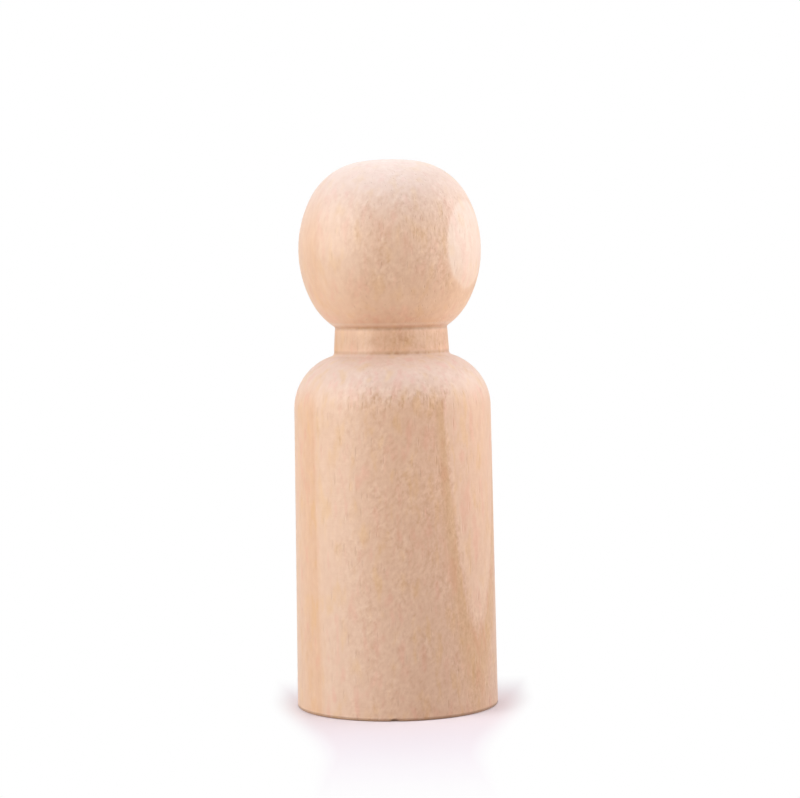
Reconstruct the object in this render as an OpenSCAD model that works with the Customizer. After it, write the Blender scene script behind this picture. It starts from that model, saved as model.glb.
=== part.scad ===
// Peg doll turned in one piece of wood: tapered body, round shoulders, short neck and squarish head
// Its outline of straight runs, and of arcs that flow into each other, is turned about the upright axis
// Millimetres, +Z up, origin at the centre of the base

/* [Doll] */
// Height from the base to the crown
doll_h = 55; // [48:0.5:70]

/* [Head] */
// Diameter at the widest ring of the head
head_d = 18.35; // [17:0.05:20]
// Height of the crown above the widest ring
head_rise = 9; // [8.5:0.05:10]
// Radius of the head's side in outline
cheek_r = 11.3; // [10:0.1:14]
// Radius of the rounds above and below the head's side
temple_r = 6.75; // [5.5:0.05:7.5]
// Radius of the flattened crown
crown_r = 20.5; // [15:0.5:30]

/* [Neck] */
// Diameter of the neck under the head
neck_top_d = 11.3; // [10:0.1:12.5]
// Diameter of the neck where it meets the shoulders
neck_foot_d = 11.65; // [10:0.05:13]
// Height of the neck, from the shoulders to the head
neck_h = 2.85; // [2:0.05:5]
// Radius of the cove that the cutter leaves under the head
chin_cove_r = 0.25; // [0.1:0.05:0.5]
// Radius of the cove at the foot of the neck
neck_cove_r = 0.4; // [0.1:0.05:0.8]

/* [Body] */
// Diameter of the body at the base, before its edge is eased
base_d = 20.3; // [18:0.1:23]
// Diameter that the tapered side would reach at the neck's foot, before the shoulder is rounded
body_top_d = 19.72; // [18:0.02:21]
// Radius of the rounded shoulders
shoulder_r = 5.5; // [4.5:0.1:7]
// Radius of the eased edge of the base
base_ease_r = 0.2; // [0.1:0.05:1]

/* [Hidden] */
// Colour of bare pale wood
bare_wood = "#DEBA9C";
// Facets round the axis and round each arc
$fn = 128;
// Lap by which an arc crosses the run that it flows into, so that the two are truly joined
lap = 0.0005;
// Reach of the wedge that cuts a slice out of a disc, as a share of the disc's radius
wedge_reach_share = 2;
// Depth to which a cove's web is rooted, as a share of the cove's radius
web_root_share = 2;

// Places in the outline are pairs: distance from the axis, then height above the base
// Direction with a given angle in degrees, counted from straight outwards
function heading(angle) = [cos(angle), sin(angle)];
// Angle of the direction from one place to another
function bearing(from, to) = atan2(to[1] - from[1], to[0] - from[0]);
// Outer place that lies at its own distance from each of two centres
function meeting(first, first_reach, second, second_reach) =
    let (
        span = norm(second - first),
        run = (second - first) / span,
        along = (first_reach * first_reach - second_reach * second_reach + span * span) / (2 * span),
        across = sqrt(first_reach * first_reach - along * along)
    )
    first + along * run + across * [-run[1], run[0]];

// Head: its side, the rounds above and below it and the crown share a tangent where they meet
head_mid_h = doll_h - head_rise;
cheek_centre = [head_d / 2 - cheek_r, head_mid_h];
crown_centre = [0, doll_h - crown_r];
temple_centre = meeting(cheek_centre, cheek_r - temple_r, crown_centre, crown_r - temple_r);
jaw_centre = [temple_centre[0], 2 * head_mid_h - temple_centre[1]];
cheek_angle = bearing(cheek_centre, temple_centre);
crown_angle = bearing(crown_centre, temple_centre);

// Neck: from the place where the jaw's round comes down to it, to the shoulders
chin_angle = -acos((neck_top_d / 2 - jaw_centre[0]) / temple_r);
neck_top = jaw_centre + temple_r * heading(chin_angle);
neck_foot = [neck_foot_d / 2, neck_top[1] - neck_h];
neck_run = (neck_top - neck_foot) / neck_h;
neck_up = neck_run / norm(neck_run);
neck_outward = [neck_up[1], -neck_up[0]];
// Place on the line of the neck's side at a given height
function neck_side(h) = neck_foot + (h - neck_foot[1]) * neck_run;

// Body: a side with a slight taper, which flows into the shoulder's arc and the eased edge of the base
taper_angle = atan2((base_d - body_top_d) / 2, neck_foot[1]);
taper = tan(taper_angle);
shoulder_inset = (neck_foot_d - body_top_d) / 2 + shoulder_r / cos(taper_angle);
shoulder_reach = sqrt((1 + taper * taper) * shoulder_r * shoulder_r - shoulder_inset * shoulder_inset);
shoulder_rise = (taper * shoulder_inset + shoulder_reach) / (1 + taper * taper);
shoulder_centre = neck_foot + [taper * shoulder_rise - shoulder_inset, -shoulder_rise];
ease_centre = [base_d / 2 - base_ease_r * (taper + 1 / cos(taper_angle)), base_ease_r];

// Centre of a cove that touches the neck and an arc at one end of it: 1 for an arc below, -1 for one above
function cove_centre(arc_centre, arc_r, cove_r, side) =
    let (
        start = neck_foot + cove_r * neck_outward,
        lead = start - arc_centre,
        along = lead * neck_up,
        reach = sqrt(along * along - lead * lead + (arc_r + cove_r) * (arc_r + cove_r))
    )
    start + (side * reach - along) * neck_up;

// Full round of the outline
module disc(centre, r) {
    translate(centre) circle(r + lap);
}

// Slice of a disc between two directions
module slice(centre, r, from, to) {
    far = wedge_reach_share * r;
    rim = [for (angle = [from, (from + to) / 2, to]) centre + far * heading(angle)];
    intersection() {
        translate(centre) circle(r);
        polygon(concat([centre], rim));
    }
}

// Web of wood in the corner between the neck and an arc, rooted in both, with a hollow face
module cove(arc_centre, arc_r, cove_r, side) {
    centre = cove_centre(arc_centre, arc_r, cove_r, side);
    root = web_root_share * cove_r;
    in_neck = centre - root * neck_outward;
    in_arc = centre + root * heading(bearing(centre, arc_centre));
    corner = in_neck + in_arc - centre;
    difference() {
        polygon(side > 0 ? [centre, in_neck, corner, in_arc] : [centre, in_arc, corner, in_neck]);
        disc(centre, cove_r);
    }
}

// Half outline of the body, with its eased base edge and its shoulder
module body_outline() {
    side_foot = ease_centre + base_ease_r * heading(taper_angle);
    side_top = shoulder_centre + shoulder_r * heading(taper_angle);
    base = [[0, 0], [ease_centre[0], 0], ease_centre];
    polygon(concat(base, [side_foot, side_top, shoulder_centre, [0, shoulder_centre[1]]]));
    disc(ease_centre, base_ease_r);
    disc(shoulder_centre, shoulder_r);
}

// Half outline of the neck, with its coves; its core runs down into the shoulders and up into the head
module neck_outline() {
    core_foot = neck_side(shoulder_centre[1]);
    core_top = neck_side(jaw_centre[1]);
    polygon([[0, core_foot[1]], core_foot, core_top, [0, core_top[1]]]);
    cove(shoulder_centre, shoulder_r, neck_cove_r, 1);
    cove(jaw_centre, temple_r, chin_cove_r, -1);
}

// Half outline of the head
module head_outline() {
    disc(jaw_centre, temple_r);
    disc(temple_centre, temple_r);
    slice(cheek_centre, cheek_r, -cheek_angle, cheek_angle);
    slice(crown_centre, crown_r, crown_angle, 180 - crown_angle);
}

// The whole turning
module peg_doll() {
    color(bare_wood)
    rotate_extrude()
    intersection() {
        square([base_d, doll_h + head_rise]);
        union() {
            body_outline();
            neck_outline();
            head_outline();
        }
    }
}

peg_doll();
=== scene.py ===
"""Bare wooden peg doll in soft studio light: its turned form, its wood and its photograph's camera."""

import logging
import math
from dataclasses import dataclass
from enum import Enum
from typing import Any, Optional, Union

import bpy
import numpy as np
from mathutils import Euler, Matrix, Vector


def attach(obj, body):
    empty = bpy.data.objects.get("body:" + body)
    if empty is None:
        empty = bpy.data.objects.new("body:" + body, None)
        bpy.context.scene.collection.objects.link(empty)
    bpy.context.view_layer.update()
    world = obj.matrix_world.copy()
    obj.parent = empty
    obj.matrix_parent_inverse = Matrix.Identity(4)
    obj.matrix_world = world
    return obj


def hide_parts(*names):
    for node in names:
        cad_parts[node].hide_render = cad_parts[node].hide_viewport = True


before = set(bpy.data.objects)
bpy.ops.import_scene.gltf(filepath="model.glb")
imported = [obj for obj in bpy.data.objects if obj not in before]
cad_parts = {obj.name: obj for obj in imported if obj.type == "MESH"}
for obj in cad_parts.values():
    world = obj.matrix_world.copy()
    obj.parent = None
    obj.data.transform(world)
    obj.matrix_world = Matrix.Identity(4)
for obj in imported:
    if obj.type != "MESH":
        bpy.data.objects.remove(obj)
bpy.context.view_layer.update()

log = logging.getLogger("peg_doll")

MM = 0.001
DOLL_PIECE = "turned_doll"
DOLL_NODE = "peg_doll"
WOOD_SLOT = "bare_wood"

# Curve by which a screen turns its levels into light
SCREEN_LEVELS = 255
SCREEN_DARK_END = 0.04045
SCREEN_DARK_SLOPE = 12.92
SCREEN_LIFT = 0.055
SCREEN_POWER = 2.4

# Numbers of a Mix node's sockets for colours, since several of its sockets share a name
MIX_SHARE = 0
MIX_UNDER = 6
MIX_OVER = 7
MIX_RESULT = 2

# Level round which the values of a Noise Texture lie
NOISE_MIDDLE = 0.5

Pair = tuple[float, float]
Place = tuple[float, float, float]
Colour = tuple[float, float, float, float]

WHITE: Colour = (1.0, 1.0, 1.0, 1.0)
WHITE_LIGHT: Place = (1.0, 1.0, 1.0)
COOL_LIGHT: Place = (0.82, 0.98, 1.18)


def paint(red: int, green: int, blue: int) -> Colour:
    """Linear colour of a screen colour.

    Args:
        red: Red as seen on a screen, from 0 to 255.
        green: Green, likewise.
        blue: Blue, likewise.

    Returns:
        Red, green, blue and alpha as light adds up.
    """
    light = []
    for level in (red, green, blue):
        share = level / SCREEN_LEVELS
        if share <= SCREEN_DARK_END:
            light.append(share / SCREEN_DARK_SLOPE)
        else:
            light.append(((share + SCREEN_LIFT) / (1 + SCREEN_LIFT)) ** SCREEN_POWER)
    return (light[0], light[1], light[2], 1.0)


def bearing(start: Pair, end: Pair) -> float:
    """Direction from one place of an outline to another, in radians."""
    return math.atan2(end[1] - start[1], end[0] - start[0])


class Sum(Enum):
    """Operations of a Math node."""

    ADD = "ADD"
    SUBTRACT = "SUBTRACT"
    MULTIPLY = "MULTIPLY"
    DIVIDE = "DIVIDE"
    MAXIMUM = "MAXIMUM"
    FRACTION = "FRACT"
    ROOT = "SQRT"
    SIZE = "ABSOLUTE"


class VectorSum(Enum):
    """Operations of a Vector Math node."""

    ADD = "ADD"
    MULTIPLY = "MULTIPLY"
    SCALE = "SCALE"


class Blend(Enum):
    """Ways in which a Mix node lays one colour over another."""

    PLAIN = "MIX"
    MULTIPLY = "MULTIPLY"


class NeckEnd(Enum):
    """The ends of the neck, and the way from the round at that end to its cove."""

    FOOT = 1
    TOP = -1


class Lamp(Enum):
    """The soft lights round the doll."""

    LEFT = "left"
    LEFT_NEAR = "left_near"
    LEFT_RIM = "left_rim"
    RIGHT_NEAR = "right_near"
    RIGHT_LOW = "right_low"
    RIGHT_RIM = "right_rim"
    TOP = "top"
    BACK = "back"


class Wire:
    """A node's output socket, with sums on values written as Python expressions."""

    def __init__(self, sheet: "NodeSheet", node: bpy.types.Node, output: Union[str, int] = 0) -> None:
        """Keeps an output.

        Args:
            sheet: The sheet on which sums add their nodes.
            node: The node.
            output: Name or number of its output.
        """
        self.sheet = sheet
        self.node = node
        self.output = output

    @property
    def socket(self) -> bpy.types.NodeSocket:
        """The socket itself."""
        return self.node.outputs[self.output]

    def __add__(self, other: "Value") -> "Wire":
        """This value plus another."""
        return self.sheet.sum(Sum.ADD, self, other)

    def __radd__(self, other: "Value") -> "Wire":
        """Another value plus this one."""
        return self.sheet.sum(Sum.ADD, other, self)

    def __sub__(self, other: "Value") -> "Wire":
        """This value less another."""
        return self.sheet.sum(Sum.SUBTRACT, self, other)

    def __rsub__(self, other: "Value") -> "Wire":
        """Another value less this one."""
        return self.sheet.sum(Sum.SUBTRACT, other, self)

    def __mul__(self, other: "Value") -> "Wire":
        """This value times another."""
        return self.sheet.sum(Sum.MULTIPLY, self, other)

    def __rmul__(self, other: "Value") -> "Wire":
        """Another value times this one."""
        return self.sheet.sum(Sum.MULTIPLY, other, self)

    def __truediv__(self, other: "Value") -> "Wire":
        """This value over another."""
        return self.sheet.sum(Sum.DIVIDE, self, other)

    def __rtruediv__(self, other: "Value") -> "Wire":
        """Another value over this one."""
        return self.sheet.sum(Sum.DIVIDE, other, self)

    def other(self, name: str) -> "Wire":
        """Another output of the same node, by its name."""
        return Wire(self.sheet, self.node, name)


Value = Union[Wire, float]
Tint = Union[Wire, Colour]


class NodeSheet:
    """The nodes of one material or world."""

    def __init__(self, tree: bpy.types.NodeTree) -> None:
        """Starts with an empty sheet."""
        self.tree = tree
        tree.nodes.clear()

    def add(
        self,
        kind: str,
        settings: Optional[dict[str, Any]] = None,
        sockets: Optional[dict[Union[str, int], Any]] = None,
        output: Union[str, int] = 0,
    ) -> Wire:
        """Adds a node of any kind.

        Args:
            kind: Blender's name of the node's type.
            settings: The node's own settings, set before its sockets; stops are those of a colour ramp.
            sockets: Values or links of its inputs, by name or number.
            output: Name or number of the output that is given back.

        Returns:
            The chosen output.
        """
        node = self.tree.nodes.new(kind)
        for name, value in (settings or {}).items():
            if name == "stops":
                self.set_stops(node.color_ramp, value)
            else:
                setattr(node, name, value)
        for key, value in (sockets or {}).items():
            if isinstance(value, Wire):
                self.tree.links.new(value.socket, node.inputs[key])
            else:
                node.inputs[key].default_value = value
        return Wire(self, node, output)

    @staticmethod
    def set_stops(ramp: bpy.types.ColorRamp, stops: tuple[Pair, ...]) -> None:
        """Gives a ramp its stops.

        Args:
            ramp: The ramp of a Color Ramp node.
            stops: Pairs of place and grey level, in order.
        """
        while len(ramp.elements) < len(stops):
            ramp.elements.new(1.0)
        for element, (place, level) in zip(ramp.elements, stops):
            element.position = place
            element.color = (level, level, level, 1.0)

    def sum(self, operation: Sum, first: Value, second: Value = 0.0) -> Wire:
        """One Math node on two values."""
        return self.add("ShaderNodeMath", {"operation": operation.value}, {0: first, 1: second})

    def stretch(self, vector: Wire, scale: Union[Wire, Place]) -> Wire:
        """A vector or colour with its three parts scaled apart."""
        settings = {"operation": VectorSum.MULTIPLY.value}
        return self.add("ShaderNodeVectorMath", settings, {0: vector, 1: scale})

    def shift(self, vector: Wire, by: Union[Wire, Place]) -> Wire:
        """A vector or colour with another added to it."""
        settings = {"operation": VectorSum.ADD.value}
        return self.add("ShaderNodeVectorMath", settings, {0: vector, 1: by})

    def scale(self, vector: Union[Wire, Place], size: Wire) -> Wire:
        """A vector or colour with its parts scaled together."""
        settings = {"operation": VectorSum.SCALE.value}
        return self.add("ShaderNodeVectorMath", settings, {0: vector, "Scale": size})

    def noise(self, at: Wire, detail: float, rough: float) -> Wire:
        """Soft noise of about unit grain, which lies round zero.

        Args:
            at: The place, in units of the grain.
            detail: Octaves above the first.
            rough: Share that each octave keeps of the one before it.

        Returns:
            A value round zero, seldom past a third either way.
        """
        sockets = {"Vector": at, "Scale": 1.0, "Detail": detail, "Roughness": rough}
        return self.add("ShaderNodeTexNoise", None, sockets) - NOISE_MIDDLE

    def ease(self, value: Value, low: float, high: float) -> Wire:
        """Smooth step of a value, from 0 at low to 1 at high, where low may be the larger."""
        sockets = {"Value": value, "From Min": low, "From Max": high}
        return self.add("ShaderNodeMapRange", {"interpolation_type": "SMOOTHSTEP"}, sockets)

    def mix(self, share: Value, under: Tint, over: Tint, blend: Blend = Blend.PLAIN) -> Wire:
        """One colour laid over another.

        Args:
            share: How much of the upper colour shows.
            under: The lower colour.
            over: The upper colour.
            blend: How it is laid.

        Returns:
            The mixed colour.
        """
        settings = {"data_type": "RGBA", "blend_type": blend.value}
        sockets = {MIX_SHARE: share, MIX_UNDER: under, MIX_OVER: over}
        return self.add("ShaderNodeMix", settings, sockets, MIX_RESULT)


@dataclass(frozen=True)
class Line:
    """Straight run of an outline, as pairs of radius and height."""

    start: Pair
    end: Pair

    def length(self) -> float:
        """Length of the run."""
        return math.dist(self.start, self.end)

    def at(self, share: np.ndarray) -> np.ndarray:
        """Places at shares of the run, one row each."""
        return np.outer(1 - share, self.start) + np.outer(share, self.end)


@dataclass(frozen=True)
class Arc:
    """Round stretch of an outline, between two directions in radians."""

    centre: Pair
    radius: float
    start: float
    end: float

    def length(self) -> float:
        """Length of the arc."""
        return abs(self.end - self.start) * self.radius

    def at(self, share: np.ndarray) -> np.ndarray:
        """Places at shares of the arc, one row each."""
        turn = self.start + (self.end - self.start) * share
        return np.array(self.centre) + self.radius * np.column_stack([np.cos(turn), np.sin(turn)])

    def ends(self) -> tuple[Pair, Pair]:
        """Its first and its last place."""
        first, last = self.at(np.array([0.0, 1.0]))
        return tuple(first), tuple(last)


@dataclass(frozen=True)
class Disc:
    """Full round, a stretch of which is part of an outline."""

    centre: Pair
    radius: float

    def arc(self, start: float, end: float) -> Arc:
        """The stretch of its rim between two directions."""
        return Arc(self.centre, self.radius, start, end)


@dataclass(frozen=True)
class Outline:
    """Half outline of the turning, in the sizes of the CAD part, and the steps between its rings."""

    height: float = 55.0 * MM
    head_diameter: float = 18.35 * MM
    head_rise: float = 9.0 * MM
    cheek_radius: float = 11.3 * MM
    temple_radius: float = 6.75 * MM
    crown_radius: float = 20.5 * MM
    neck_top_diameter: float = 11.3 * MM
    neck_foot_diameter: float = 11.65 * MM
    neck_height: float = 2.85 * MM
    chin_cove_radius: float = 0.25 * MM
    neck_cove_radius: float = 0.4 * MM
    base_diameter: float = 20.3 * MM
    body_top_diameter: float = 19.72 * MM
    shoulder_radius: float = 5.5 * MM
    base_ease_radius: float = 0.2 * MM
    fine_foot: float = 1.5 * MM
    base_step: float = 1.0 * MM
    side_step: float = 0.5 * MM
    round_step: float = 0.19 * MM
    fine_step: float = 0.08 * MM
    tiny_step: float = 0.05 * MM
    least_rings: int = 2

    def temple(self, cheek: Disc, crown: Disc) -> Disc:
        """The round that flows into the head's side and into its crown.

        Args:
            cheek: The round of the head's side.
            crown: The round of its crown.

        Returns:
            The round between them.
        """
        start = np.array(cheek.centre)
        span = math.dist(cheek.centre, crown.centre)
        run = (np.array(crown.centre) - start) / span
        near = cheek.radius - self.temple_radius
        far = crown.radius - self.temple_radius
        along = (near**2 - far**2 + span**2) / (2 * span)
        across = math.sqrt(near**2 - along**2)
        centre = start + along * run + across * np.array([-run[1], run[0]])
        return Disc(tuple(centre), self.temple_radius)

    def shoulder(self, neck_foot: Pair, taper: float) -> Disc:
        """The round that flows into the body's side and comes up to the neck's foot.

        Args:
            neck_foot: Place where the neck's side starts.
            taper: Slope of the body's side, inwards for each step up.

        Returns:
            The round.
        """
        overhang = (self.body_top_diameter - self.neck_foot_diameter) / 2
        inset = self.shoulder_radius / math.cos(math.atan(taper)) - overhang
        reach = math.sqrt((1 + taper**2) * self.shoulder_radius**2 - inset**2)
        rise = (taper * inset + reach) / (1 + taper**2)
        centre = (neck_foot[0] + taper * rise - inset, neck_foot[1] - rise)
        return Disc(centre, self.shoulder_radius)

    @staticmethod
    def cove(neck: Line, disc: Disc, radius: float, end: NeckEnd) -> Arc:
        """Hollow round between the neck and the round at one end of it.

        Args:
            neck: The neck's side, from its foot to its top.
            disc: The round that the cove meets.
            radius: Radius of the cove.
            end: The end of the neck.

        Returns:
            The cove, run from below to above.
        """
        foot = np.array(neck.start)
        up = (np.array(neck.end) - foot) / neck.length()
        outward = np.array([up[1], -up[0]])
        start = foot + radius * outward
        lead = start - np.array(disc.centre)
        along = lead @ up
        reach = math.sqrt(along**2 - lead @ lead + (disc.radius + radius) ** 2)
        hollow = Disc(tuple(start + (end.value * reach - along) * up), radius)
        to_neck = math.atan2(-outward[1], -outward[0]) % math.tau
        to_disc = bearing(hollow.centre, disc.centre) % math.tau
        if end is NeckEnd.FOOT:
            return hollow.arc(to_disc, to_neck)
        return hollow.arc(to_neck, to_disc)

    def stretches(self) -> list[tuple[Union[Line, Arc], float]]:
        """The outline from the middle of the base to the crown.

        Returns:
            Each stretch with the step at which rings are laid along it.
        """
        # Head
        middle = self.height - self.head_rise
        cheek = Disc((self.head_diameter / 2 - self.cheek_radius, middle), self.cheek_radius)
        crown = Disc((0.0, self.height - self.crown_radius), self.crown_radius)
        temple = self.temple(cheek, crown)
        jaw = Disc((temple.centre[0], 2 * middle - temple.centre[1]), self.temple_radius)
        cheek_turn = bearing(cheek.centre, temple.centre)
        crown_turn = bearing(crown.centre, temple.centre)

        # Neck
        chin_turn = -math.acos((self.neck_top_diameter / 2 - jaw.centre[0]) / jaw.radius)
        neck_top = (self.neck_top_diameter / 2, jaw.centre[1] + jaw.radius * math.sin(chin_turn))
        neck_foot = (self.neck_foot_diameter / 2, neck_top[1] - self.neck_height)
        neck = Line(neck_foot, neck_top)

        # Body
        taper = (self.base_diameter - self.body_top_diameter) / 2 / neck_foot[1]
        lean = math.atan(taper)
        shoulder = self.shoulder(neck_foot, taper)
        flat = self.base_diameter / 2 - self.base_ease_radius * (taper + 1 / math.cos(lean))
        ease = Disc((flat, self.base_ease_radius), self.base_ease_radius).arc(-math.pi / 2, lean)

        # Coves, and the arcs and runs that they meet
        low_cove = self.cove(neck, shoulder, self.neck_cove_radius, NeckEnd.FOOT)
        high_cove = self.cove(neck, jaw, self.chin_cove_radius, NeckEnd.TOP)
        shoulder_arc = shoulder.arc(lean, bearing(shoulder.centre, low_cove.centre))
        jaw_arc = jaw.arc(bearing(jaw.centre, high_cove.centre), -cheek_turn)
        side = Line(ease.ends()[1], shoulder_arc.ends()[0])
        foot_top = tuple(side.at(np.array([self.fine_foot / side.length()]))[0])
        return [
            (Line((0.0, 0.0), (flat, 0.0)), self.base_step),
            (ease, self.tiny_step),
            (Line(side.start, foot_top), self.fine_step),
            (Line(foot_top, side.end), self.side_step),
            (shoulder_arc, self.round_step),
            (low_cove, self.tiny_step),
            (Line(low_cove.ends()[1], high_cove.ends()[0]), self.fine_step),
            (high_cove, self.tiny_step),
            (jaw_arc, self.round_step),
            (cheek.arc(-cheek_turn, cheek_turn), self.round_step),
            (temple.arc(cheek_turn, crown_turn), self.round_step),
            (crown.arc(crown_turn, math.pi / 2), self.round_step),
        ]

    def rings(self) -> np.ndarray:
        """Every ring, from the middle of the base to the crown.

        Returns:
            Radius and height, one row a ring.
        """
        rows = [np.zeros((1, 2))]
        for stretch, step in self.stretches():
            count = max(self.least_rings, math.ceil(stretch.length() / step))
            rows.append(stretch.at(np.arange(1, count + 1) / count))
        return np.vstack(rows)


@dataclass(frozen=True)
class Groove:
    """Shallow groove that the cutter left round the doll."""

    height: float
    spread: float
    depth: float

    def at(self, height: np.ndarray) -> np.ndarray:
        """Depth of the groove at each height."""
        return self.depth * np.exp(-(((height - self.height) / self.spread) ** 2))


@dataclass
class TurnedDoll:
    """The doll as one turning, with the small marks that cutting, drying and handling leave."""

    outline: Outline = Outline()
    columns: int = 328
    front_crowding: float = 0.6
    front: float = -math.pi / 2
    drying_shrink: float = 0.012 * MM
    drying_bearing: float = math.radians(-28.0)
    nick_offset: float = -0.32 * MM
    nick_half_width: float = 0.55 * MM
    nick_height: float = 0.3 * MM
    nick_depth: float = 0.3 * MM
    grooves: tuple[Groove, ...] = (
        Groove(38.1 * MM, 0.16 * MM, 0.025 * MM),
        Groove(35.72 * MM, 0.16 * MM, 0.02 * MM),
        Groove(26.6 * MM, 0.12 * MM, 0.015 * MM),
    )

    def turns(self) -> np.ndarray:
        """Angles of the columns round the axis, closer together at the front."""
        even = np.linspace(-math.pi, math.pi, self.columns, endpoint=False)
        return self.front + even - self.front_crowding * np.sin(even)

    def relief(self, turns: np.ndarray, rings: np.ndarray) -> np.ndarray:
        """Depth of wood that is gone from the true outline.

        Args:
            turns: Angles of the columns.
            rings: Radius and height of the rings.

        Returns:
            A depth for each ring and column.
        """
        radius = rings[:, :1]
        height = rings[:, 1:]
        base_radius = self.outline.base_diameter / 2
        oval = (1 - np.cos(2 * (turns - self.drying_bearing))) / 2
        shrink = self.drying_shrink * oval * radius / base_radius
        cut = sum(groove.at(height) for groove in self.grooves)
        across = (radius * (turns - self.front) - self.nick_offset) / self.nick_half_width
        up = height / self.nick_height
        hollow = np.clip(1 - across**2 - up**2, 0, 1)
        at_edge = radius > base_radius - self.nick_depth
        nick = self.nick_depth * hollow * at_edge
        return np.minimum(shrink + cut + nick, radius)

    def faces(self, rows: int) -> list[tuple[int, ...]]:
        """Faces between the rings, with a fan at the base and one at the crown.

        Args:
            rows: How many rings lie between the two ends.

        Returns:
            The vertices of each face.
        """
        here = np.arange(self.columns)
        after = (here + 1) % self.columns
        foot = rows * self.columns
        crown = foot + 1
        top = foot - self.columns
        neighbours = list(zip(here.tolist(), after.tolist()))
        faces = [(foot, b, a) for a, b in neighbours]
        for low in range(0, top, self.columns):
            high = low + self.columns
            sides = np.stack([low + here, low + after, high + after, high + here], axis=1)
            faces.extend(map(tuple, sides.tolist()))
        faces.extend((top + a, top + b, crown) for a, b in neighbours)
        return faces

    def build(self) -> bpy.types.Object:
        """Makes the mesh, with a map that unrolls it from a seam at the back.

        Returns:
            The doll, in the scene.
        """
        rings = self.outline.rings()
        turns = self.turns()
        inner = rings[1:-1]
        radius = inner[:, :1] - self.relief(turns, inner)
        height = np.broadcast_to(inner[:, 1:], radius.shape)
        body = np.stack([radius * np.cos(turns), radius * np.sin(turns), height], axis=2).reshape(-1, 3)
        poles = np.array([[0.0, 0.0, rings[0, 1]], [0.0, 0.0, rings[-1, 1]]])
        mesh = bpy.data.meshes.new(DOLL_PIECE)
        mesh.from_pydata(np.vstack([body, poles]).tolist(), [], self.faces(len(inner)))
        mesh.update()
        self.unroll(mesh, rings)
        mesh.shade_smooth()
        doll = bpy.data.objects.new(DOLL_PIECE, mesh)
        bpy.context.scene.collection.objects.link(doll)
        return doll

    def unroll(self, mesh: bpy.types.Mesh, rings: np.ndarray) -> None:
        """Lays the faces out on a map, round the axis across and along the outline up.

        Args:
            mesh: The doll's mesh.
            rings: Radius and height of its rings.
        """
        steps = np.linalg.norm(np.diff(rings, axis=0), axis=1)
        along = np.concatenate([[0.0], np.cumsum(steps)]) / steps.sum()
        foot = len(mesh.vertices) - 2
        layer = mesh.uv_layers.new(name="OFBake")
        for face in mesh.polygons:
            columns = [v % self.columns for v in face.vertices if v < foot]
            wraps = max(columns) - min(columns) > 1
            spots = [(c + self.columns if wraps and c == 0 else c) / self.columns for c in columns]
            middle = sum(spots) / len(spots)
            ring_spots = iter(spots)
            for loop, vertex in zip(face.loop_indices, face.vertices):
                if vertex < foot:
                    spot = (next(ring_spots), along[1 + vertex // self.columns])
                elif vertex == foot:
                    spot = (middle, 0.0)
                else:
                    spot = (middle, 1.0)
                layer.uv[loop].vector = spot

    def dress(self, doll: bpy.types.Object, finish: "BareWood") -> None:
        """Gives the doll its wood."""
        doll.data.materials.append(finish.material())


@dataclass(frozen=True)
class Step:
    """A soft step in some value, from none of a thing to all of it."""

    none: float
    full: float

    def of(self, sheet: NodeSheet, value: Value) -> Wire:
        """How far a value has come along the step."""
        return sheet.ease(value, self.none, self.full)


@dataclass(frozen=True)
class Grain:
    """One layer of noise in the wood, in grains a millimetre, and how much of it shows."""

    across: float
    along: float
    detail: float = 1.0
    rough: float = 0.5
    tone_share: float = 0.0
    relief_share: float = 0.0

    def noise(self, sheet: NodeSheet, place: Wire) -> Wire:
        """The layer's noise at a place in the wood."""
        scaled = sheet.stretch(place, (self.across, self.across, self.along))
        return sheet.noise(scaled, self.detail, self.rough)


@dataclass(frozen=True)
class Spot:
    """A spot of the surface: its place and its height in millimetres, and how far it faces up."""

    place: Wire
    z: Wire
    slope: Wire

    @classmethod
    def on(cls, sheet: NodeSheet) -> "Spot":
        """The spot that is being shaded.

        Args:
            sheet: The wood's nodes.

        Returns:
            The spot, in the doll's own frame.
        """
        coordinates = sheet.add("ShaderNodeTexCoord", output="Object")
        place = sheet.stretch(coordinates, (1 / MM, 1 / MM, 1 / MM))
        z = sheet.add("ShaderNodeSeparateXYZ", None, {"Vector": place}, "Z")
        slope = sheet.add("ShaderNodeSeparateXYZ", None, {"Vector": coordinates.other("Normal")}, "Z")
        return cls(place, z, slope)


@dataclass(frozen=True)
class RingLayers:
    """What the rings give at a spot: count, growth in millimetres, late wood, its line and its strength."""

    count: Wire
    growth: Wire
    late: Wire
    line: Wire
    strength: Wire


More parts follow.
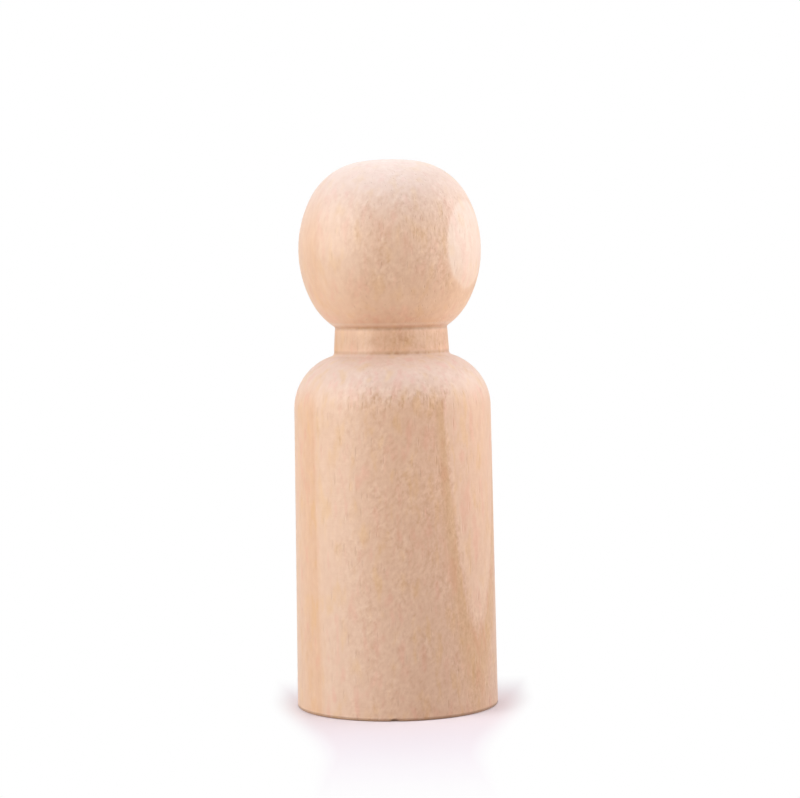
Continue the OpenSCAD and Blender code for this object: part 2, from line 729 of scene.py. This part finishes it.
@dataclass(frozen=True)
class GrowthRings:
    """Wide growth rings round a pith outside the doll, which splay towards the foot of the tree."""

    # Place of the rings, in millimetres and radians
    bearing: float = math.radians(38.2)
    twist: float = math.radians(0.222)
    pith_distance: float = 60.0
    start: float = -3.2
    width: float = 11.59
    flare_from: float = 36.0
    flare_soft: float = 8.0
    flare_slope: float = 0.063
    bow: float = 0.0136
    bow_height: float = 45.1
    head: Step = Step(34.0, 38.5)
    wobble: Grain = Grain(0.22, 0.05, 2.0, tone_share=0.5)

    # Late wood across one ring, as pairs of place and strength
    late_stops: tuple[Pair, ...] = (
        (0.0, 0.62),
        (0.015, 0.42),
        (0.05, 0.12),
        (0.11, 0.0),
        (0.5, 0.32),
        (0.85, 0.64),
        (1.0, 0.78),
    )
    weak_to_strong: Step = Step(-6.0, 4.0)
    weak_share: float = 0.75
    next_ring: Step = Step(1.0, 1.02)
    next_ring_share: float = 0.6
    head_fade_share: float = 0.34

    # Dark line at the end of a ring
    line_rise: Step = Step(0.94, 0.98)
    line_fall: Step = Step(1.0, 0.99)
    line_slope: Step = Step(0.4, 0.1)
    line_head_share: float = 0.65

    def build(self, sheet: NodeSheet, spot: Spot) -> RingLayers:
        """Late wood builds up across each ring and ends at a thin dark line.

        Args:
            sheet: The wood's nodes.
            spot: The spot that is being shaded.

        Returns:
            What the rings give there.
        """
        head = self.head.of(sheet, spot.z)
        growth = self.growth(sheet, spot, head)
        count = (growth - self.start) / self.width
        phase = sheet.sum(Sum.FRACTION, count)
        strength = self.weak_to_strong.of(sheet, growth)

        late = sheet.add("ShaderNodeValToRGB", {"stops": self.late_stops}, {"Fac": phase})
        late = late * (self.weak_share + (1 - self.weak_share) * strength)
        late = late * (1 - self.head_fade_share * head)
        late = sheet.sum(Sum.MAXIMUM, late, self.next_ring_share * self.next_ring.of(sheet, count))

        line = self.line_rise.of(sheet, phase) * self.line_fall.of(sheet, phase)
        line = line * (1 - self.line_head_share * head) * self.line_slope.of(sheet, spot.slope)
        return RingLayers(count, growth, late, line * strength, strength)

    def growth(self, sheet: NodeSheet, spot: Spot, head: Wire) -> Wire:
        """Distance of a spot from the ring through the doll's axis, as the tree grew.

        Args:
            sheet: The wood's nodes.
            spot: The spot that is being shaded.
            head: 1 on the head and 0 on the body.

        Returns:
            The distance in millimetres.
        """
        turn = self.bearing - self.twist * spot.z
        sockets = {"Vector": spot.place, "Angle": turn}
        turned = sheet.add("ShaderNodeVectorRotate", {"rotation_type": "Z_AXIS"}, sockets)
        parts = sheet.add("ShaderNodeSeparateXYZ", None, {"Vector": turned}, "X")
        out = parts + self.pith_distance
        across = parts.other("Y")
        even = sheet.sum(Sum.ROOT, out * out + across * across) - self.pith_distance
        below = self.flare_from - spot.z
        flare = self.flare_slope / 2 * (below + sheet.sum(Sum.ROOT, below * below + self.flare_soft**2))
        wobble = self.wobble.tone_share * self.wobble.noise(sheet, spot.place)
        off_bow = spot.z - self.bow_height
        return even + wobble - flare + self.bow * head * off_bow * off_bow


@dataclass(frozen=True)
class PaintedLightBand:
    """Thin band round the doll at a height in millimetres, that carries a painted line of highlight in one
    use and of shade in the others.
    """

    height: float
    reach: float
    share: float

    def mask(self, sheet: NodeSheet, z: Wire) -> Wire:
        """How much of the line shows at a height.

        Args:
            sheet: The wood's nodes.
            z: The height in millimetres.

        Returns:
            A share, which falls to 0 at the line's reach on either side.
        """
        below = sheet.ease(z, self.height - self.reach, self.height)
        above = sheet.ease(z, self.height + self.reach, self.height)
        return self.share * below * above


@dataclass(frozen=True)
class FineGrain:
    """The fine grain at a spot: strokes, fuzz and streaks of fibre, pores, tears and rough spots."""

    strokes: Wire
    fuzz: Wire
    streaks: Wire
    pores: Wire
    torn: Wire
    blotches: Wire


@dataclass(frozen=True)
class BareWood:
    """Pale sanded hardwood with upright fibres, as cutting and handling left it, with light and shade
    painted into its colour in places.
    """

    # Growth rings
    rings: GrowthRings = GrowthRings()
    early: Colour = paint(239, 202, 175)
    late: Colour = paint(224, 177, 146)
    weak_late: Colour = paint(237, 188, 147)
    line: Colour = paint(214, 165, 116)
    line_share: float = 0.58
    # Pale young wood past a ring's end, on the head only, whitened further as a painted highlight
    young_and_highlight: Colour = paint(250, 225, 210)
    young_highlight_share: float = 0.66
    young_edge: Step = Step(1.0, 1.014)

    # Slopes that face up, pale as end grain and with a painted sheen of the top light; painted bounce light
    # on the underside of the head
    # End grain and a painted top-light sheen, stronger the more a slope faces up
    end_grain_and_sheen: Colour = paint(235, 208, 195)
    end_grain_and_sheen_share: float = 0.72
    end_grain_and_sheen_slope: Step = Step(0.0, 0.65)
    # Painted bounce light: the head's underside is lighter and warmer, as if lit from the floor below
    under: Colour = paint(255, 208, 172)
    under_light_share: float = 0.55
    under_light_slope: Step = Step(0.0, -0.6)

    # Tints that drift through the wood
    hue: Grain = Grain(0.9, 0.32, 2.0)
    pink_tint: Colour = paint(255, 244, 244)
    pink_hue: Step = Step(0.02, 0.22)
    yellow_tint: Colour = paint(254, 250, 234)
    yellow_hue: Step = Step(-0.02, -0.22)
    head_hue_loss: float = 0.35
    upper_tint: Colour = paint(255, 253, 250)
    upper: Step = Step(6.0, 26.0)

    # Painted light and shade at heights in millimetres: shade on the neck, a highlight line on the head's
    # lower rim, shade lines in the two coves and shade along the base's edge
    # Painted shade on the neck, where the head's overhang keeps light off it
    neck: Colour = paint(238, 233, 225)
    neck_rise: Step = Step(34.8, 37.0)
    neck_fall: Step = Step(39.2, 37.0)
    # Painted highlight: a light line on the head's lower rim, as if it caught light from below
    lip_highlight: Colour = paint(250, 222, 202)
    lip_highlight_line: PaintedLightBand = PaintedLightBand(38.6, 0.22, 0.42)
    # Painted shade: dark lines in the coves at the chin and at the neck's foot, over the shallow grooves
    # there
    cut: Colour = paint(204, 192, 180)
    cove_shade_lines: tuple[PaintedLightBand, ...] = (PaintedLightBand(38.18, 0.36, 0.65), PaintedLightBand(35.72, 0.36, 0.55))
    # Painted contact shade along the base's edge, darkening its lowest 0.3 mm
    base_edge_shade: Colour = paint(212, 203, 194)
    base_edge_shade_height: Step = Step(0.36, 0.22)

    # Fibres
    shade_hue: Place = (0.75, 1.3, 1.72)
    tone: Grain = Grain(0.32, 0.07, 2.0, tone_share=0.12)
    mottle: Grain = Grain(1.5, 0.8, tone_share=0.13)
    streaks: Grain = Grain(2.2, 0.09, 3.0, 0.6, tone_share=0.055, relief_share=0.22)
    strokes: Grain = Grain(2.5, 1.9, 1.5, 0.55, tone_share=0.5, relief_share=0.9)
    fuzz: Grain = Grain(5.6, 4.6, tone_share=0.12, relief_share=0.4)
    turning: Grain = Grain(0.04, 3.2, 3.0, 0.6, relief_share=0.3)
    bend: float = 0.45
    bend_reach: Place = (0.8, 0.8, 0.0)
    stroke_lean: float = -0.2

    # Where the fibres are calm
    smooth_top: Step = Step(0.3, 0.6)
    smooth_under: Step = Step(-0.15, -0.5)
    smooth_share: float = 0.52
    lively: Step = Step(-2.5, 4.0)
    lively_share: float = 0.78
    young_calm_share: float = 0.65
    patches: Grain = Grain(0.5, 0.26, 2.0)
    patch_edge: Step = Step(0.14, -0.14)
    patch_calm_share: float = 0.5

    # Pores, tears of the cutter and rough spots of the neck
    pore_cells: Place = (2.6, 2.6, 0.34)
    pore_edge: Step = Step(0.22, 0.08)
    pore_tone_share: float = 0.03
    pore_relief_share: float = 0.5
    tears: Grain = Grain(3.4, 0.9, 2.0, 0.55, relief_share=0.66)
    tear: Colour = paint(242, 234, 224)
    tear_depth: Step = Step(-0.06, 0.2)
    tear_start: Step = Step(-0.02, 0.12)
    tear_end: Step = Step(0.58, 0.24)
    head_tear_loss: float = 0.5
    blotch: Grain = Grain(1.3, 1.2, 2.0, 0.6, tone_share=0.11, relief_share=0.5)
    blotch_depth: Step = Step(-0.05, 0.25)

    # Gloss and depth of the relief
    roughness: float = 0.46
    late_roughness: float = 0.10
    stroke_roughness: float = 0.1
    tear_roughness: float = 0.10
    relief_depth: float = 0.06 * MM
    gloss: float = 0.65
    sheen: float = 0.2
    sheen_roughness: float = 0.45

    def material(self) -> bpy.types.Material:
        """Builds the wood's nodes.

        Returns:
            The material.
        """
        wood = bpy.data.materials.new(WOOD_SLOT)
        wood.use_nodes = True
        sheet = NodeSheet(wood.node_tree)
        spot = Spot.on(sheet)
        rings = self.rings.build(sheet, spot)
        grain = self.fine_grain(sheet, spot, rings)
        colour = sheet.stretch(self.colour(sheet, spot, rings), self.shade(sheet, spot, grain))
        colour = sheet.mix(grain.torn, colour, self.tear, Blend.MULTIPLY)
        roughness = self.roughness + self.late_roughness * rings.late
        roughness = roughness + self.stroke_roughness * grain.strokes + self.tear_roughness * grain.torn
        height = self.relief(sheet, spot, grain)
        sockets = {"Strength": 1.0, "Distance": self.relief_depth, "Height": height}
        bump = sheet.add("ShaderNodeBump", None, sockets)
        sockets = {
            "Base Color": colour,
            "Roughness": roughness,
            "Normal": bump,
            "Specular IOR Level": self.gloss,
            "Sheen Weight": self.sheen,
            "Sheen Roughness": self.sheen_roughness,
        }
        shader = sheet.add("ShaderNodeBsdfPrincipled", None, sockets)
        sheet.add("ShaderNodeOutputMaterial", None, {"Surface": shader})
        return wood

    def fine_grain(self, sheet: NodeSheet, spot: Spot, rings: RingLayers) -> FineGrain:
        """The fine grain, calm on smooth slopes and in parts of the rings.

        Args:
            sheet: The wood's nodes.
            spot: The spot that is being shaded.
            rings: What the growth rings give there.

        Returns:
            Its layers.
        """
        lively = 1 - self.lively_share * (1 - self.lively.of(sheet, rings.growth))
        lively = lively * (1 - self.young_calm_share * self.young_edge.of(sheet, rings.count))
        shown = lively * (1 - self.smooth_share * self.smooth_top.of(sheet, spot.slope))
        shown = shown * (1 - self.smooth_share * self.smooth_under.of(sheet, spot.slope))
        patches = self.patch_edge.of(sheet, self.patches.noise(sheet, spot.place))
        shown = shown * (1 - self.patch_calm_share * patches)
        fibres = self.fibres(sheet, spot)
        off_head = 1 - self.head_tear_loss * self.rings.head.of(sheet, spot.z)
        return FineGrain(
            strokes=shown * self.strokes.noise(sheet, fibres),
            fuzz=shown * self.fuzz.noise(sheet, fibres),
            streaks=self.streaks.noise(sheet, spot.place),
            pores=self.pores(sheet, spot),
            torn=lively * off_head * self.torn(sheet, spot),
            blotches=lively * self.blotches(sheet, spot),
        )

    def shade(self, sheet: NodeSheet, spot: Spot, grain: FineGrain) -> Wire:
        """How much lighter or darker the fine grain makes the wood.

        Args:
            sheet: The wood's nodes.
            spot: The spot that is being shaded.
            grain: The fine grain there.

        Returns:
            A factor for each part of the colour.
        """
        light = self.tone.tone_share * self.tone.noise(sheet, spot.place)
        light = light + self.mottle.tone_share * self.mottle.noise(sheet, spot.place)
        light = light + self.streaks.tone_share * grain.streaks
        light = light + self.strokes.tone_share * grain.strokes + self.fuzz.tone_share * grain.fuzz
        light = light - self.pore_tone_share * grain.pores - self.blotch.tone_share * grain.blotches
        return sheet.shift(sheet.scale(self.shade_hue, light), (1.0, 1.0, 1.0))

    def relief(self, sheet: NodeSheet, spot: Spot, grain: FineGrain) -> Wire:
        """Height of the surface, as a share of the depth of its relief.

        Args:
            sheet: The wood's nodes.
            spot: The spot that is being shaded.
            grain: The fine grain there.

        Returns:
            The height.
        """
        height = self.turning.relief_share * self.turning.noise(sheet, spot.place)
        height = height + self.streaks.relief_share * grain.streaks
        height = height + self.strokes.relief_share * grain.strokes + self.fuzz.relief_share * grain.fuzz
        height = height - self.pore_relief_share * grain.pores - self.tears.relief_share * grain.torn
        return height - self.blotch.relief_share * grain.blotches

    def colour(self, sheet: NodeSheet, spot: Spot, rings: RingLayers) -> Wire:
        """Colour of the wood before its fine grain, with its painted highlights, sheen, bounce light and
        shade.

        Args:
            sheet: The wood's nodes.
            spot: The spot that is being shaded.
            rings: What the growth rings give there.

        Returns:
            The colour.
        """
        head = self.rings.head.of(sheet, spot.z)
        late = sheet.mix(rings.strength, self.weak_late, self.late)
        colour = sheet.mix(rings.late, self.early, late)
        colour = sheet.mix(self.line_share * rings.line, colour, self.line)
        # Young wood on the head, with a painted highlight in its whiteness
        young_and_highlight = self.young_highlight_share * head * self.young_edge.of(sheet, rings.count)
        colour = sheet.mix(young_and_highlight, colour, self.young_and_highlight)
        # End grain with a painted sheen of the top light on slopes that face up
        end_grain_and_sheen = self.end_grain_and_sheen_share * self.end_grain_and_sheen_slope.of(sheet, spot.slope)
        colour = sheet.mix(end_grain_and_sheen, colour, self.end_grain_and_sheen)
        # Painted bounce light on the underside of the head
        under = self.under_light_share * head * self.under_light_slope.of(sheet, spot.slope)
        colour = sheet.mix(under, colour, self.under)

        hue = self.hue.noise(sheet, spot.place)
        kept = 1 - self.head_hue_loss * head
        pink = kept * self.pink_hue.of(sheet, hue)
        colour = sheet.mix(pink, colour, self.pink_tint, Blend.MULTIPLY)
        yellow = kept * self.yellow_hue.of(sheet, hue)
        colour = sheet.mix(yellow, colour, self.yellow_tint, Blend.MULTIPLY)
        colour = sheet.mix(self.upper.of(sheet, spot.z), colour, self.upper_tint, Blend.MULTIPLY)

        # Painted shade on the neck under the head
        colour = sheet.mix(self.on_neck(sheet, spot), colour, self.neck, Blend.MULTIPLY)
        # Painted highlight line on the head's lower rim
        colour = sheet.mix(self.lip_highlight_line.mask(sheet, spot.z), colour, self.lip_highlight)
        # Painted shade lines in the coves at the chin and at the neck's foot
        for cut in self.cove_shade_lines:
            colour = sheet.mix(cut.mask(sheet, spot.z), colour, self.cut, Blend.MULTIPLY)
        # Painted contact shade along the base's edge
        return sheet.mix(self.base_edge_shade_height.of(sheet, spot.z), colour, self.base_edge_shade, Blend.MULTIPLY)

    def on_neck(self, sheet: NodeSheet, spot: Spot) -> Wire:
        """1 half way up the neck, and 0 on the body and the head."""
        return self.neck_rise.of(sheet, spot.z) * self.neck_fall.of(sheet, spot.z)

    def fibres(self, sheet: NodeSheet, spot: Spot) -> Wire:
        """Place along fibres that wander and lean a little.

        Args:
            sheet: The wood's nodes.
            spot: The spot that is being shaded.

        Returns:
            The place in millimetres.
        """
        sockets = {"Vector": spot.place, "Scale": self.bend, "Detail": 1.0}
        wander = sheet.add("ShaderNodeTexNoise", None, sockets, "Color")
        bent = sheet.shift(spot.place, sheet.stretch(wander, self.bend_reach))
        lean = sheet.add("ShaderNodeCombineXYZ", None, {"X": self.stroke_lean * spot.z})
        return sheet.shift(bent, lean)

    def pores(self, sheet: NodeSheet, spot: Spot) -> Wire:
        """Fine vessels, cut lengthwise into dashes and across into dots.

        Args:
            sheet: The wood's nodes.
            spot: The spot that is being shaded.

        Returns:
            1 in a vessel and 0 between them.
        """
        cells = sheet.stretch(spot.place, self.pore_cells)
        near = sheet.add("ShaderNodeTexVoronoi", None, {"Vector": cells, "Scale": 1.0})
        return self.pore_edge.of(sheet, near)

    def torn(self, sheet: NodeSheet, spot: Spot) -> Wire:
        """Short tears on slopes that face a little up, where the cutter climbed out of the fibres."""
        sloping = self.tear_start.of(sheet, spot.slope) * self.tear_end.of(sheet, spot.slope)
        return sloping * self.tear_depth.of(sheet, self.tears.noise(sheet, spot.place))

    def blotches(self, sheet: NodeSheet, spot: Spot) -> Wire:
        """Rough spots where the neck was cut and not sanded."""
        depth = self.blotch_depth.of(sheet, self.blotch.noise(sheet, spot.place))
        return self.on_neck(sheet, spot) * depth


@dataclass(frozen=True)
class SoftBox:
    """One square soft light, aimed at the doll, with places in metres."""

    lamp: Lamp
    place: Place
    side: float
    power: float
    colour: Place = WHITE_LIGHT
    aim: Place = (0.0, 0.0, 27 * MM)
    spread: float = math.pi

    def light(self) -> None:
        """Hangs the light, turned to its aim."""
        data = bpy.data.lights.new(f"{self.lamp.value}_softbox", "AREA")
        data.shape = "SQUARE"
        data.size = self.side
        data.energy = self.power
        data.color = self.colour
        data.spread = self.spread
        box = bpy.data.objects.new(data.name, data)
        box.location = self.place
        box.rotation_euler = (Vector(self.aim) - Vector(self.place)).to_track_quat("-Z", "Y").to_euler()
        box.visible_camera = False
        bpy.context.scene.collection.objects.link(box)


@dataclass
class Studio:
    """Plain pale floor, soft light from all sides and the photograph's camera."""

    # Floor, with the patch round the doll that isn't run out to white
    floor_half: float = 0.6
    floor_colour: Colour = paint(249, 237, 239)
    floor_bounce: Colour = paint(182, 174, 169)
    patch_middle: float = 0.5 * MM
    patch_narrow: float = 6.0 * MM
    patch_wide: float = 11.6 * MM
    patch_flare: Step = Step(-30 * MM, 4 * MM)
    patch_edge: Step = Step(-1.4 * MM, 2.2 * MM)
    patch_back: Step = Step(-1 * MM, 17 * MM)
    patch_front: Step = Step(-14 * MM, -52 * MM)

    # Camera
    camera_distance: float = 240 * MM
    camera_height: float = 43.46 * MM
    camera_pitch: float = math.radians(2.993)
    camera_yaw: float = math.radians(0.184)
    camera_roll: float = math.radians(1.045)
    lens: float = 107.2
    sensor_width: float = 36.0

    # Light
    ambient: float = 0.05
    boxes: tuple[SoftBox, ...] = (
        SoftBox(Lamp.LEFT, (-0.373, -0.199, 0.181), side=0.38, power=1.22),
        SoftBox(Lamp.LEFT_NEAR, (-0.12, -0.08, 0.065), side=0.08, power=0.05),
        SoftBox(Lamp.LEFT_RIM, (-0.394, 0.106, 0.217), side=0.34, power=0.1),
        SoftBox(Lamp.RIGHT_NEAR, (0.12, -0.08, 0.065), side=0.08, power=0.085),
        SoftBox(
            Lamp.RIGHT_LOW,
            (0.11, -0.01, 0.03),
            side=0.05,
            power=0.0016,
            aim=(0.0, 0.0, 39 * MM),
            spread=math.radians(30.0),
        ),
        SoftBox(Lamp.RIGHT_RIM, (0.394, 0.106, 0.217), side=0.34, power=0.75),
        SoftBox(Lamp.TOP, (0.0, 0.0, 0.2), side=0.16, power=0.16, colour=COOL_LIGHT),
        SoftBox(Lamp.BACK, (0.0, 0.289, 0.372), side=0.34, power=0.27),
    )

    def build(self) -> None:
        """Sets up the floor, the surroundings, the lights and the camera."""
        self.lay_floor()
        self.surround()
        for box in self.boxes:
            box.light()
        self.set_camera()
        bpy.context.scene.view_settings.view_transform = "Standard"

    @staticmethod
    def seen(sheet: NodeSheet) -> Wire:
        """Tells what is seen from light that falls on things.

        Args:
            sheet: The nodes of a material or world.

        Returns:
            1 for what the camera sees directly, in gloss or through glass, and 0 otherwise.
        """
        path = sheet.add("ShaderNodeLightPath", output="Is Camera Ray")
        shown = sheet.sum(Sum.MAXIMUM, path, path.other("Is Glossy Ray"))
        return sheet.sum(Sum.MAXIMUM, shown, path.other("Is Transmission Ray"))

    def lay_floor(self) -> None:
        """Lays the floor."""
        half = self.floor_half
        corners = [(-half, -half, 0.0), (half, -half, 0.0), (half, half, 0.0), (-half, half, 0.0)]
        mesh = bpy.data.meshes.new("floor")
        mesh.from_pydata(corners, [], [(0, 1, 2, 3)])
        mesh.materials.append(self.paper())
        floor = bpy.data.objects.new("floor", mesh)
        bpy.context.scene.collection.objects.link(floor)

    def paper(self) -> bpy.types.Material:
        """Paper that keeps the doll's shadow in a patch round it, and runs out to white.

        Returns:
            The material.
        """
        paper = bpy.data.materials.new("floor_paper")
        paper.use_nodes = True
        sheet = NodeSheet(paper.node_tree)
        seen = self.seen(sheet)
        spot = sheet.add("ShaderNodeTexCoord", output="Object")
        across = sheet.add("ShaderNodeSeparateXYZ", None, {"Vector": spot}, "X")
        along = across.other("Y")
        flare = self.patch_wide - self.patch_narrow
        half_width = self.patch_narrow + flare * self.patch_flare.of(sheet, along)
        beyond = sheet.sum(Sum.SIZE, across - self.patch_middle) - half_width
        far = self.patch_edge.of(sheet, beyond)
        far = sheet.sum(Sum.MAXIMUM, far, self.patch_back.of(sheet, along))
        far = sheet.sum(Sum.MAXIMUM, far, self.patch_front.of(sheet, along))
        shade = sheet.mix(seen, self.floor_bounce, self.floor_colour)
        matt = sheet.add("ShaderNodeBsdfDiffuse", None, {"Color": shade})
        white = sheet.add("ShaderNodeEmission", None, {"Color": WHITE, "Strength": 1.0})
        mixed = sheet.add("ShaderNodeMixShader", None, {0: far * seen, 1: matt, 2: white})
        sheet.add("ShaderNodeOutputMaterial", None, {"Surface": mixed})
        return paper

    def surround(self) -> None:
        """Puts white all round, at the level of the room's own light where it falls on things."""
        world = bpy.data.worlds.new("white_surround")
        world.use_nodes = True
        sheet = NodeSheet(world.node_tree)
        strength = self.ambient + (1.0 - self.ambient) * self.seen(sheet)
        glow = sheet.add("ShaderNodeBackground", None, {"Color": WHITE, "Strength": strength})
        sheet.add("ShaderNodeOutputWorld", None, {"Surface": glow})
        bpy.context.scene.world = world

    def set_camera(self) -> None:
        """Sets the camera where the photograph's was, with its slight lean."""
        data = bpy.data.cameras.new("camera")
        data.lens = self.lens
        data.sensor_width = self.sensor_width
        camera = bpy.data.objects.new("camera", data)
        camera.location = (0.0, -self.camera_distance, self.camera_height)
        level = Euler((math.pi / 2 - self.camera_pitch, 0.0, -self.camera_yaw), "XYZ").to_quaternion()
        lean = Euler((0.0, 0.0, -self.camera_roll), "XYZ").to_quaternion()
        camera.rotation_mode = "QUATERNION"
        camera.rotation_quaternion = level @ lean
        bpy.context.scene.collection.objects.link(camera)
        bpy.context.scene.camera = camera


def main() -> None:
    """Builds the studio and the doll, and joins the doll to the CAD part."""
    logging.basicConfig(level=logging.INFO, format="%(name)s: %(message)s")
    Studio().build()
    turning = TurnedDoll()
    doll = turning.build()
    turning.dress(doll, BareWood())
    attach(doll, "root")
    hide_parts(DOLL_NODE)
    log.info("%s: %d faces, in place of %s", doll.name, len(doll.data.polygons), DOLL_NODE)


if __name__ == "__main__":
    main()
